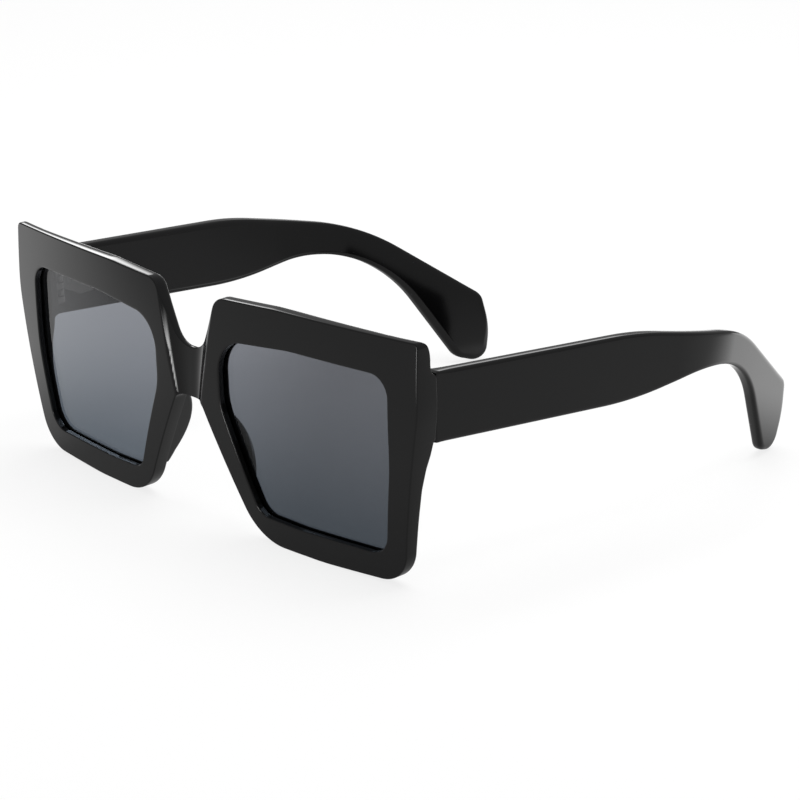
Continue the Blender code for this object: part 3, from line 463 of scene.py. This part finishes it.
def pad_grid():
    """Sections along the nasal edge: up its plane, a rounded crest, a quarter ellipse inwards, and
    back under the pad.

    Height and width follow sin(pi u^1.1)^0.7, u running from the lower end to the upper."""
    foot, bridge = np.array(HALF_OUTLINE[2][:2]), np.array(HALF_OUTLINE[1][:2])
    along = (bridge - foot) / np.hypot(*(bridge - foot))
    inwards = np.array([along[1], -along[0]])
    u = (1 - np.cos(np.linspace(0, np.pi, 81))) / 2
    line = foot + along * ((PAD_ENDS[0] + (PAD_ENDS[1] - PAD_ENDS[0]) * u - foot[1]) / along[1])[:, None]
    swell = np.maximum(np.sin(np.pi * u**1.1), 0)[:, None] ** 0.7
    height, width = PAD_REACH * swell, PAD_WIDTH * swell
    crest = np.minimum(PAD_CREST, height / 2)
    turn = np.linspace(0, np.pi / 2, 13)[None]
    across = np.concatenate([
        np.zeros_like(height), np.zeros_like(height),
        crest * (1 - np.cos(turn)), crest + (width - crest) * np.sin(turn)[:, 1:], width,
    ], axis=1)
    depth = np.concatenate([
        np.zeros_like(height) - PAD_SINK, (height - crest) / 2,
        height - crest * (1 - np.sin(turn)), height * np.cos(turn)[:, 1:], np.zeros_like(height) - PAD_SINK,
    ], axis=1)
    across, depth = (np.concatenate([grid, grid[:, :1]], axis=1) for grid in (across, depth))
    place = line[:, None] + inwards * (across[..., None] + PAD_INSET)
    return standing(place[..., 0], PLATE + depth, place[..., 1])


for label, sign in (("left", 1), ("right", -1)):
    pad = mesh_piece(f"nose_rest_{label}", [pad_grid() * (sign, 1, 1)], sharp=60)
    pad.data.materials.append(acetate)
    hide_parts(f"nose_pad_{label}")
    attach(pad, "front")

# TEMPLES
# One broad blade of the same plastic on each side, polished all round, bent in behind the ear and
# turned down at the tip. A steel wire runs inside it.

TEMPLE_THICKNESS = 0.0036
TEMPLE_ROUNDING = (0.0009, 0.0014)
TEMPLE_SPLAY = 0.041
BEND_START = 0.0713
BEND_LENGTH = 0.0225
BEND_RADIUS = 0.0620
ROOT_LEAN = 0.07
TIP_LEAN = 0.145
INNER_FACE = PIN_TO_BUTT
BUTT_GAP = 0.0003
TIP_CLEARANCE = 0.0004


def temple_offset(y):
    """Outward place of the bent blade: the splay, less a parabola over the bend, then a straight line."""
    arc = np.clip(y - BEND_START, 0, BEND_LENGTH)
    straight = np.maximum(y - BEND_START - BEND_LENGTH, 0)
    return TEMPLE_SPLAY * y - arc**2 / (2 * BEND_RADIUS) - straight * BEND_LENGTH / BEND_RADIUS


def temple_lean(y):
    """Sideways lean per metre of height, growing evenly from the hinge to the bend."""
    return ROOT_LEAN + (TIP_LEAN - ROOT_LEAN) * np.clip(y / BEND_START, 0, 1)


def temple_outline():
    """The side outline from the pin, (y, z, rounding) from the butt's lower corner round by the tip.

    Its toe is let down until the lowest point of its rounding is the clearance above the floor."""
    slant = math.tan(FRONT_TILT)
    front_end = BUTT_GAP - INNER_FACE
    floor = -pin_left[2] + TIP_CLEARANCE

    def corners(toe):
        heel = 0.1024 + 0.643 * (pin_left[2] - 0.0088 - 0.0023)
        return [
            (front_end + 0.0078 * slant, -0.0078, 0.0007),
            (0.0585, -0.0100, 0.100),
            (0.0800, -0.0068, 0.045),
            (0.1024, -0.0088, 0.033),
            (heel, toe + 0.0023, 0.0046),
            (heel + 0.0080, toe, 0.0042),
            (heel + 0.0102, toe + 0.0100, 0.020),
            (heel + 0.0087, toe + 0.0188, 0.0038),
            (0.0984, -0.0010, 0.055),
            (0.0585, 0.0065, 0.100),
            (front_end - 0.0085 * slant, 0.0085, 0.0007),
        ]

    lowest = rounded(corners(floor), closed=True)[0][:, 1].min()
    return rounded(corners(2 * floor - lowest), closed=True)


def temple_grids():
    """Both faces as patches between the outline's four sides, and the rounded edge as a strip."""
    line, mid = temple_outline()
    length, width = 221, 19
    ring_line = np.concatenate([line[mid[0]:-1], line[:mid[0] + 1]])
    spots = [0, mid[3] - mid[0], mid[4] - mid[0], mid[5] - mid[0], mid[7] - mid[0], mid[10] - mid[0]]
    bottom = np.concatenate([
        evenly(ring_line[:spots[1] + 1], 151)[:-1],
        evenly(ring_line[spots[1]:spots[2] + 1], length - 150),
    ])
    toe = evenly(ring_line[spots[2]:spots[3] + 1], width)
    top = np.concatenate([
        evenly(ring_line[spots[3]:spots[4] + 1], 31)[:-1],
        evenly(ring_line[spots[4]:spots[5] + 1], length - 30),
    ])
    butt = evenly(ring_line[spots[5]:], width)
    loop = np.concatenate([bottom[:-1], toe[:-1], top[:-1], butt[:-1]])
    normals = outward(loop, closed=True)
    # The rounding grows towards the tip, and at the butt it is 0.55 of what it is along the blade.
    rounding = np.interp(loop[:, :1], [0.095, 0.125], TEMPLE_ROUNDING)
    rounding *= smooth_step(loop[:, :1], -0.0015, 0.003) * 0.45 + 0.55

    def placed(plan, across):
        y, z = plan[..., 0], plan[..., 1]
        x = INNER_FACE + TEMPLE_THICKNESS / 2 + across + temple_offset(y) + temple_lean(y) * z
        world = np.stack([x, y, z], axis=-1) + pin_left
        world[..., 2] = np.maximum(world[..., 2], 0)
        return world

    half_thick = TEMPLE_THICKNESS / 2
    quarter = np.linspace(0, np.pi / 2, 6)
    rows = []
    for side, angles in ((-1, quarter), (1, quarter[::-1])):
        for angle in angles:
            across = side * (half_thick - rounding * (1 - math.cos(angle)))
            place = loop - normals * rounding * (1 - math.sin(angle))
            row = np.concatenate([place, across], axis=-1)
            row = np.concatenate([row, row[:1]])
            rows.append(placed(row[:, :2], row[:, 2]))
    edge = np.stack(rows)
    place = loop - normals * rounding
    place = np.concatenate([place, place[:1]])
    ends = [0, length - 1, length + width - 2, 2 * length + width - 3, len(place) - 1]
    sides = [place[a:b + 1] for a, b in zip(ends[:-1], ends[1:])]
    grid = coons(sides[0], sides[1], sides[2][::-1], sides[3][::-1])
    return [placed(grid, half_thick), placed(grid, -half_thick), edge]


for label, sign in (("left", 1), ("right", -1)):
    temple = mesh_piece(f"temple_blade_{label}", [grid * (sign, 1, 1) for grid in temple_grids()])
    temple.data.materials.append(acetate)
    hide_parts(f"temple_{label}")
    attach(temple, f"{label}_temple")

# HINGES
# Stainless steel leaves with five barrels, let into the plastic and held by small countersunk
# screws; one slotted screw is the pin. They are blanked from sheet, rolled and brushed.

steel, shader = new_material("brushed_stainless_steel")
shader.inputs["Base Color"].default_value = linear("#98958f")
shader.inputs["Metallic"].default_value = 1
shader.inputs["Roughness"].default_value = 0.3
place = add_node(steel, "ShaderNodeTexCoord")
# Brushing lines run up the leaf, about 0.12 mm apart: 8000 to the metre across, 300 along.
stretch = add_node(steel, "ShaderNodeMapping",
                   links={"Vector": place.outputs["Object"], "Scale": (8000, 8000, 300)})
lines = add_node(steel, "ShaderNodeTexNoise",
                 links={"Vector": stretch.outputs["Vector"], "Scale": 1, "Detail": 2})
bump = add_node(steel, "ShaderNodeBump",
                links={"Height": lines.outputs["Fac"], "Strength": 0.15, "Distance": 0.00002})
steel.node_tree.links.new(bump.outputs["Normal"], shader.inputs["Normal"])
for name, node in frame["nodes"].items():
    if "hinge" in name or "screw" in name or "core" in name:
        node.data.materials.clear()
        node.data.materials.append(steel)
        node.modifiers.new("weld", "WELD").merge_threshold = 1e-6

# FLOOR, LIGHT AND CAMERA
# A white table and a white wall under a large soft overhead light. Two soft boxes behind draw the
# light lines along the top edges, and a small low one in front lights the edge of the hollowed bridge.

floor_mesh = bpy.data.meshes.new("floor")
floor_mesh.from_pydata([(-4, -4, 0), (4, -4, 0), (4, 4, 0), (-4, 4, 0)], [], [(0, 1, 2, 3)])
floor = bpy.data.objects.new("floor", floor_mesh)
bpy.context.scene.collection.objects.link(floor)
paper, shader = new_material("white_table")
shader.inputs["Base Color"].default_value = (0.2, 0.2, 0.2, 1)
shader.inputs["Roughness"].default_value = 0.6
shader.inputs["Specular IOR Level"].default_value = 0
shader.inputs["Emission Color"].default_value = (1, 1, 1, 1)
place = add_node(paper, "ShaderNodeTexCoord")
place = add_node(paper, "ShaderNodeSeparateXYZ", links={"Vector": place.outputs["Object"]})
x, y = place.outputs["X"], place.outputs["Y"]
SOFTLY = {"interpolation_type": "SMOOTHSTEP"}
# Painted light for the polish: to glossy rays the table glows 0.22, falling off in front and to the right,
# with a painted pool of light 0.95 brighter on the left and another 1 brighter behind, as if lit from the
# left and behind.
slant = add_node(paper, "ShaderNodeMath", {"operation": "MULTIPLY"}, {0: y, 1: 2})
slant = add_node(paper, "ShaderNodeMath", {"operation": "SUBTRACT"}, {0: slant.outputs[0], 1: x})
slant = add_node(paper, "ShaderNodeMapRange", SOFTLY,
                 {"Value": slant.outputs[0], "From Min": -0.22, "From Max": 0.02})
# Painted pool of light on the left of the table, seen only in the polish.
left = add_node(paper, "ShaderNodeMapRange", SOFTLY,
                {"Value": x, "From Min": -0.05, "From Max": -0.15, "To Max": 0.95})
# Painted pool of light behind the glasses, seen only in the polish.
behind = add_node(paper, "ShaderNodeMapRange", SOFTLY, {"Value": y, "From Min": 0.06, "From Max": 0.11})
painted_pool_beside = add_node(paper, "ShaderNodeMapRange", SOFTLY, {"Value": x, "From Min": 0.11, "From Max": 0.06})
painted_pool_ahead = add_node(paper, "ShaderNodeMapRange", SOFTLY, {"Value": y, "From Min": -0.02, "From Max": -0.06})
left = add_node(paper, "ShaderNodeMath", {"operation": "MULTIPLY"}, {0: left.outputs[0], 1: painted_pool_ahead.outputs[0]})
painted_reflected_glow = add_node(paper, "ShaderNodeMath", {"operation": "MULTIPLY_ADD"},
                    {0: slant.outputs[0], 1: left.outputs[0], 2: 0.22})
painted_reflected_glow = add_node(paper, "ShaderNodeMath", {"operation": "MULTIPLY_ADD"},
                    {0: behind.outputs[0], 1: painted_pool_beside.outputs[0], 2: painted_reflected_glow.outputs[0]})
# Painted shadow: through the lenses the table glows greyer between the temples than in front of them.
painted_shade_through_lenses = add_node(paper, "ShaderNodeMath", {"operation": "ADD"}, {0: x, 1: y})
painted_shade_through_lenses = add_node(paper, "ShaderNodeMapRange", SOFTLY, {
    "Value": painted_shade_through_lenses.outputs[0], "From Min": -0.03, "From Max": -0.11, "To Min": 0.32, "To Max": 0.82,
})
# The camera sees it white. A ray bent by a lens counts as glossy too, so it is told apart.
rays = add_node(paper, "ShaderNodeLightPath")
only_mirrored = add_node(paper, "ShaderNodeMath", {"operation": "GREATER_THAN"},
                         {0: rays.outputs["Is Glossy Ray"], 1: rays.outputs["Is Transmission Ray"]})
glow = add_node(paper, "ShaderNodeMath", {"operation": "MULTIPLY"},
                {0: rays.outputs["Is Camera Ray"], 1: 0.82})
glow = add_node(paper, "ShaderNodeMath", {"operation": "MULTIPLY_ADD"},
                {0: only_mirrored.outputs[0], 1: painted_reflected_glow.outputs[0], 2: glow.outputs[0]})
glow = add_node(paper, "ShaderNodeMath", {"operation": "MULTIPLY_ADD"},
                {0: rays.outputs["Is Transmission Ray"], 1: painted_shade_through_lenses.outputs[0], 2: glow.outputs[0]})
paper.node_tree.links.new(glow.outputs[0], shader.inputs["Emission Strength"])
floor_mesh.materials.append(paper)

# The wall behind is white to the camera and gives little light of its own.
world = bpy.data.worlds.new("studio")
bpy.context.scene.world = world
world.use_nodes = True
sky = world.node_tree.nodes["Background"]
sky.inputs["Color"].default_value = (1, 1, 1, 1)
rays = add_node(world, "ShaderNodeLightPath")
glow = add_node(world, "ShaderNodeMath", {"operation": "MULTIPLY_ADD"},
                {0: rays.outputs["Is Camera Ray"], 1: 0.7, 2: 0.3})
world.node_tree.links.new(glow.outputs[0], sky.inputs["Strength"])


def add_light(name, place, aim, size, radiance):
    """A rectangular soft light facing aim; its power is pi times its area times its radiance."""
    lamp = bpy.data.lights.new(name, "AREA")
    lamp.shape = "RECTANGLE"
    lamp.size, lamp.size_y = size
    lamp.energy = math.pi * size[0] * size[1] * radiance
    obj = bpy.data.objects.new(name, lamp)
    obj.location = place
    obj.rotation_euler = (Vector(aim) - Vector(place)).to_track_quat("-Z", "Y").to_euler()
    obj.visible_camera = False
    bpy.context.scene.collection.objects.link(obj)
    return obj


def fade_edges(light, rim):
    """Dim a light over the outer part of each side, as cloth stretched on a frame does.

    rim is that part's share of the side, and brightness follows a smooth step over it both ways."""
    lamp = light.data
    lamp.use_nodes = True
    place = add_node(lamp, "ShaderNodeNewGeometry")
    off = add_node(lamp, "ShaderNodeVectorMath", {"operation": "SUBTRACT"},
                   {0: place.outputs["Parametric"], 1: (0.5, 0.5, 0)})
    off = add_node(lamp, "ShaderNodeVectorMath", {"operation": "ABSOLUTE"}, {0: off.outputs[0]})
    off = add_node(lamp, "ShaderNodeSeparateXYZ", links={"Vector": off.outputs[0]})
    wide = add_node(lamp, "ShaderNodeMapRange", SOFTLY,
                    {"Value": off.outputs["X"], "From Min": 0.5, "From Max": 0.5 - rim})
    high = add_node(lamp, "ShaderNodeMapRange", SOFTLY,
                    {"Value": off.outputs["Y"], "From Min": 0.5, "From Max": 0.5 - rim})
    both = add_node(lamp, "ShaderNodeMath", {"operation": "MULTIPLY"},
                    {0: wide.outputs[0], 1: high.outputs[0]})
    lamp.node_tree.links.new(both.outputs[0], lamp.node_tree.nodes["Emission"].inputs["Strength"])


overhead = add_light("overhead", (0, 0.2, 0.9), (0, 0, 0), (0.9, 0.9), 3.0)
overhead.visible_glossy = False
left_box = add_light("behind_left", (-0.991, 0.480, 0.520), (-0.03, -0.069, 0.056), (0.34, 0.24), 5.0)
right_box = add_light("behind_right", (-0.690, 0.882, 0.485), (0, 0, 0.055), (0.48, 0.26), 1.6)
low_box = add_light("low_front", (0.021, -0.193, 0.022), (-0.007, -0.071, 0.035), (0.046, 0.052), 13.0)
low_box.visible_diffuse = False
fade_edges(left_box, 0.3)
fade_edges(right_box, 0.3)
fade_edges(low_box, 0.4)

# The photograph's angle: 48.3 degrees round to the wearer's left and 17.1 above the table.
CAMERA_AZIMUTH = math.radians(48.34466)
CAMERA_ELEVATION = math.radians(17.11227)
CAMERA_DISTANCE = 0.685206
CAMERA_TARGET = Vector((0.0003635, pin_left[1] + 0.05228, 0.015984))
camera_data = bpy.data.cameras.new("camera")
camera_data.sensor_width = 36
camera_data.lens = 36 * 2805.75 / 800
camera = bpy.data.objects.new("camera", camera_data)
back = Vector((
    math.sin(CAMERA_AZIMUTH) * math.cos(CAMERA_ELEVATION),
    -math.cos(CAMERA_AZIMUTH) * math.cos(CAMERA_ELEVATION),
    math.sin(CAMERA_ELEVATION),
))
camera.location = CAMERA_TARGET + back * CAMERA_DISTANCE
camera.rotation_euler = back.to_track_quat("Z", "Y").to_euler()
bpy.context.scene.collection.objects.link(camera)
bpy.context.scene.camera = camera
bpy.context.scene.view_settings.view_transform = "Standard"
